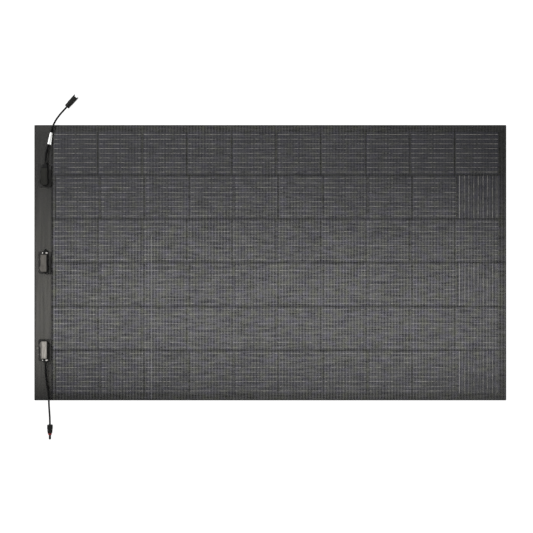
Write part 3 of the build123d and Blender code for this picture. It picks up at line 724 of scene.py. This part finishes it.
class SOLAR_OT_cells(bpy.types.Operator):
    """Six rows of cells, each row one piece"""

    bl_idname = "solar.cells"
    bl_label = "Cells"

    def execute(self, context):
        cells = context.scene.solar_cells
        skins = [cell_material(cells, turned) for turned in (False, True)]
        for row in range(1, ROWS + 1):
            low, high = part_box(f"cell_row_{row}")
            y = (low.y + high.y) / 2
            bm = bmesh.new()
            for column in range(COLUMNS):
                turned = row % 2 == 0 and column == COLUMNS - 1
                x = high.x - CELL_SIDE / 2 if turned else low.x + CELL_SIDE / 2 + COLUMN_PITCH * column
                self.add_cell(bm, (x, y, low.z), high.z - low.z, int(turned))
            sharpen(piece(f"cells_{row}", bm, skins, "panel", (f"cell_row_{row}",)), 40)
        return {"FINISHED"}

    def add_cell(self, bm, place, thickness, material):
        made = bmesh.ops.create_grid(
            bm, x_segments=8, y_segments=8, size=CELL_SIDE / 2, matrix=Matrix.Translation(place)
        )
        faces = {face for vert in made["verts"] for face in vert.link_faces}
        upper = new_verts(bmesh.ops.extrude_face_region(bm, geom=list(faces)))
        bmesh.ops.translate(bm, vec=(0, 0, thickness), verts=upper)
        verts = set(made["verts"]) | set(upper)
        lift(verts)
        for vert in verts:
            for face in vert.link_faces:
                face.material_index = material


class SOLAR_OT_ribbons(bpy.types.Operator):
    """Nine ribbons on each cell, which dive towards the next cell in the gap"""

    bl_idname = "solar.ribbons"
    bl_label = "Ribbons"

    def execute(self, context):
        cells = context.scene.solar_cells
        tin = ribbon_material(cells)
        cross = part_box("cross_ribbons")[0].x
        half_cross = 0.0015  # half a cross ribbon's width
        inset = 0.002  # from a cell's edge to its ribbons' ends
        for row in range(1, ROWS + 1):
            low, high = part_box(f"cell_row_{row}")
            start, end = [corner.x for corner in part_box(f"ribbon_row_{row}")]
            y = (low.y + high.y) / 2
            has_turned = row % 2 == 0
            straight = COLUMNS - 1 if has_turned else COLUMNS
            bm = bmesh.new()
            for wire in range(WIRES):
                offset = WIRE_PITCH * (wire - (WIRES - 1) / 2)
                for column in range(straight):
                    left = low.x + COLUMN_PITCH * column
                    first = start if column == 0 else left + inset
                    dives = column < straight - 1
                    last = left + COLUMN_PITCH if dives else (cross if has_turned else end)
                    self.add_ribbon(bm, (first, y + offset), (last, y + offset), cells.ribbon_width, dives)
                if has_turned:
                    x = high.x - CELL_SIDE / 2 + offset
                    top = y + ROW_PITCH / 2 - half_cross
                    self.add_ribbon(bm, (x, low.y + inset), (x, top), cells.ribbon_width, False)
            sharpen(piece(f"ribbons_{row}", bm, [tin], "panel", (f"ribbon_row_{row}",)), 50)
        return {"FINISHED"}

    def add_ribbon(self, bm, start, end, width, dives):
        """A flat strip with eased top edges, in short lengths so that it follows the waves."""
        span = Vector(end) - Vector(start)
        middle = (Vector(end) + Vector(start)) / 2
        made = bmesh.ops.create_grid(bm, x_segments=9, y_segments=1, size=0.5)["verts"]
        stretch = Matrix.Diagonal((span.length, width, 1.0, 1.0))
        bmesh.ops.transform(bm, matrix=stretch, verts=made)
        faces = {face for vert in made for face in vert.link_faces}
        top = new_verts(bmesh.ops.extrude_face_region(bm, geom=list(faces)))
        eased = Matrix.Diagonal((1, 0.56, 1, 1))
        eased = Matrix.Translation((0, 0, RIBBON_TOP - CELL_HIGH.z)) @ eased
        bmesh.ops.transform(bm, matrix=eased, verts=top)
        made = made + top
        if dives:
            tip = [vert for vert in made if vert.co.x > span.length / 2 - 0.001]
            bmesh.ops.translate(bm, vec=(0, 0, BED_TOP - CELL_HIGH.z), verts=tip)
        turn = Matrix.Rotation(math.atan2(span.y, span.x), 4, "Z")
        seat = Matrix.Translation((middle.x, middle.y, CELL_HIGH.z))
        bmesh.ops.transform(bm, matrix=seat @ turn, verts=made)
        lift(made)


class SOLAR_OT_backing(bpy.types.Operator):
    """The black layers and the coated strips at both ends"""

    bl_idname = "solar.backing"
    bl_label = "Backing"

    def execute(self, context):
        dress(["backsheet", "rear_encapsulant"], backing_material())
        coated = rubber_material("coated_ribbon", (0.002, 0.002, 0.002), 0.5, 0.1)
        dress(["cross_ribbons", "bus_ribbons"], coated)
        return {"FINISHED"}


class SOLAR_OT_boxes(bpy.types.Operator):
    """The three junction boxes, their lids and what is inside them"""

    bl_idname = "solar.boxes"
    bl_label = "Junction boxes"

    def execute(self, context):
        boxes = context.scene.solar_boxes
        for p, (lit_field_ends, painted_left_band, glint_strength, flange_highlight) in BOX_PAINTED_LIGHT.items():
            # Each lid's colour is painted reflection of the lights, not a plastic of its own
            color = getattr(boxes, f"{p}_lid")
            dress([f"box_{p}_base"], base_material(f"box_{p}", boxes.body_color, p, glint_strength, flange_highlight))
            dress([f"box_{p}_lid"], lid_material(f"lid_{p}", color, p, lit_field_ends, painted_left_band))
        black = plastic_material("port_plastic", boxes.body_color)
        dress(["port_plug_middle", "gland_upper", "gland_lower"], black)
        dress([f"box_{p}_pad" for p in PLACES], rubber_material("bond", (0.003, 0.003, 0.003), 0.45))
        potting = rubber_material("potting", (0.06, 0.06, 0.062), 0.3, 0.5)
        dress([f"box_{p}_potting" for p in PLACES], potting)
        dress([f"box_{p}_diode" for p in PLACES], plastic_material("diode", (0.012, 0.012, 0.013), 0.5))
        dress([f"box_{p}_terminals" for p in PLACES], metal_material("terminal", (0.72, 0.68, 0.58)))
        dress([f"box_{p}_ribbon_tails" for p in PLACES], metal_material("ribbon_tail", (0.72, 0.72, 0.73)))
        return {"FINISHED"}


def lead_curve(name, route, diameter, material):
    """A round lead along a smooth line whose control points are the route."""
    data = bpy.data.curves.new(name, "CURVE")
    data.dimensions = "3D"
    data.bevel_depth = diameter / 2
    data.bevel_resolution = 6
    data.resolution_u = 10
    data.use_fill_caps = True
    line = data.splines.new("NURBS")
    line.points.add(len(route) - 1)
    for point, place in zip(line.points, route):
        point.co = (*place, 1.0)
    line.order_u = 3
    line.use_endpoint_u = True
    data.materials.append(material)
    made = bpy.data.objects.new(name, data)
    bpy.context.scene.collection.objects.link(made)
    return made


class SOLAR_OT_leads(bpy.types.Operator):
    """The two leads and the flag label on the upper one"""

    bl_idname = "solar.leads"
    bl_label = "Leads"

    def execute(self, context):
        leads = context.scene.solar_leads
        jacket = rubber_material("jacket", leads.jacket_color, 0.5, 0.06)
        groups = (
            ("upper", UPPER_ROUTE, UPPER_LENGTH, "socket", ["lead_label"]),
            ("lower", LOWER_ROUTE, LOWER_LENGTH, "plug", ["plug_seal_ring"]),
        )
        for place, route, length, end, extra in groups:
            made = lead_curve(f"{place}_lead", route, leads.diameter, jacket)
            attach(made, "panel")
            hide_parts(f"lead_{place}")
        dress(["lead_label"], label_material())
        return {"FINISHED"}


class SOLAR_OT_connectors(bpy.types.Operator):
    """The two mating connectors"""

    bl_idname = "solar.connectors"
    bl_label = "Connectors"

    def execute(self, context):
        leads = context.scene.solar_leads
        black = plastic_material("connector_plastic", (0.005, 0.005, 0.0045), 0.4, 1300.0, 0.25, 0.12)
        dress(["socket_housing", "plug_housing", "socket_cap_nut", "plug_cap_nut"], black)
        dress(["socket_seal", "plug_seal"], rubber_material("seal", (0.012, 0.012, 0.012)))
        dress(["plug_seal_ring"], rubber_material("seal_ring", leads.ring_color, 0.35, 0.4))
        dress(["socket_contact", "plug_contact"], metal_material("contact", (0.78, 0.76, 0.70), 0.2))
        return {"FINISHED"}


class SOLAR_OT_stage(bpy.types.Operator):
    """White floor, soft light from the upper left and a camera that looks straight down"""

    bl_idname = "solar.stage"
    bl_label = "Stage"

    def execute(self, context):
        scene = context.scene
        self.floor(scene)
        self.lights(scene)
        self.camera(scene)
        scene.view_settings.view_transform = "Standard"
        scene.view_settings.look = "None"
        return {"FINISHED"}

    def floor(self, scene):
        bm = bmesh.new()
        half_side = 12.0
        gap = 0.0002  # between the sheet and the floor
        bmesh.ops.create_grid(bm, x_segments=1, y_segments=1, size=half_side)
        bmesh.ops.translate(bm, vec=(0, 0, -gap), verts=bm.verts)
        mesh = bpy.data.meshes.new("floor")
        bm.to_mesh(mesh)
        bm.free()
        s = Shader("floor")
        mesh.materials.append(s.surface(
            Base_Color=(0.12, 0.12, 0.12, 1), Roughness=0.9, Specular_IOR_Level=0.0,
            Emission_Color=(1.0, 1.0, 1.0, 1), Emission_Strength=0.95,
        ))
        floor = bpy.data.objects.new("floor", mesh)
        scene.collection.objects.link(floor)

    def lights(self, scene):
        world = bpy.data.worlds.new("studio")
        world.use_nodes = True
        world.node_tree.nodes["Background"].inputs[0].default_value = (1.0, 1.0, 1.0, 1)
        world.node_tree.nodes["Background"].inputs[1].default_value = 0.62
        scene.world = world
        self.area(scene, "key", (-4.3, 2.7, 3.8), (-0.2, 0.0, 0.0), 1.1, 330.0)
        self.area(scene, "fill", (1.6, -2.6, 4.2), (0.0, -0.1, 0.0), 2.6, 80.0)

    def area(self, scene, name, place, aim, size, power):
        data = bpy.data.lights.new(name, "AREA")
        data.shape = "DISK"
        data.size = size
        data.energy = power
        lamp = bpy.data.objects.new(name, data)
        lamp.location = place
        lamp.rotation_mode = "QUATERNION"
        lamp.rotation_quaternion = (Vector(aim) - Vector(place)).to_track_quat("-Z", "Y")
        scene.collection.objects.link(lamp)

    def camera(self, scene):
        lit_field = 2.005  # metres seen across at the sheet
        data = bpy.data.cameras.new("camera")
        data.lens = 62.0
        data.sensor_width = 36.0
        data.clip_end = 100.0
        camera = bpy.data.objects.new("camera", data)
        camera.location = (-0.0143, -0.0143, lit_field * data.lens / data.sensor_width)
        scene.collection.objects.link(camera)
        scene.camera = camera


# ---- Sidebar ----
class SOLAR_PT_panel(bpy.types.Panel):
    bl_label = "Solar sheet"
    bl_idname = "SOLAR_PT_panel"
    bl_space_type = "VIEW_3D"
    bl_region_type = "UI"
    bl_category = "Solar"

    def draw(self, context):
        for group in GROUPS:
            settings = getattr(context.scene, group)
            for name in settings.__annotations__:
                self.layout.prop(settings, name)
        for operator in OPERATORS:
            self.layout.operator(operator.bl_idname)


GROUPS = {
    "solar_film": SolarFilm,
    "solar_cells": SolarCells,
    "solar_boxes": SolarBoxes,
    "solar_leads": SolarLeads,
}
OPERATORS = (
    SOLAR_OT_stage,
    SOLAR_OT_leads,
    SOLAR_OT_connectors,
    SOLAR_OT_boxes,
    SOLAR_OT_backing,
    SOLAR_OT_cells,
    SOLAR_OT_ribbons,
    SOLAR_OT_film,
)


def register():
    for cls in (*GROUPS.values(), *OPERATORS, SOLAR_PT_panel):
        bpy.utils.register_class(cls)
    for name, cls in GROUPS.items():
        setattr(bpy.types.Scene, name, bpy.props.PointerProperty(type=cls))


def unregister():
    for name in GROUPS:
        delattr(bpy.types.Scene, name)
    for cls in reversed((*GROUPS.values(), *OPERATORS, SOLAR_PT_panel)):
        bpy.utils.unregister_class(cls)


def main():
    register()
    for operator in OPERATORS:
        group, name = operator.bl_idname.split(".")
        getattr(getattr(bpy.ops, group), name)()


if __name__ == "__main__":
    main()
